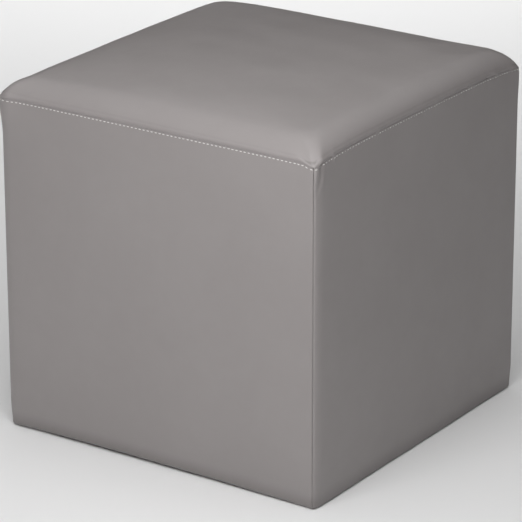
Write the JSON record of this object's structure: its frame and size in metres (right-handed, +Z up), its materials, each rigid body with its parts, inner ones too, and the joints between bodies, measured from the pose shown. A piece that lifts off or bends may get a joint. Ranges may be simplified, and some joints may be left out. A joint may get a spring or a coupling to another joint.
{
  "type": "cube pouf stool",
  "caption": "Upholstered cube pouf stool: a low crowned seat on upright padded side panels, with stitching under the top seam, to sit on or rest the feet on.",
  "frame": {"origin": "middle of the footprint, on the surface that the stool stands on", "axes": "+Z up, square to the seat; the front face looks along -Y and the right face along +X, as the picture shows them at its left and right"},
  "size_m": [0.4043, 0.4043, 0.4091],
  "materials": {
    "cover": "smooth fine-grained warm grey leather-like cover, satin",
    "thread": "light grey sewing thread",
    "underside": "plain dark non-woven cloth, matte"
  },
  "bodies": {
    "root": {"top_panel": "cover", "side_panel_front": "cover", "side_panel_right": "cover", "side_panel_back": "cover", "side_panel_left": "cover", "base_panel": "underside"}
  },
  "joints": []
}
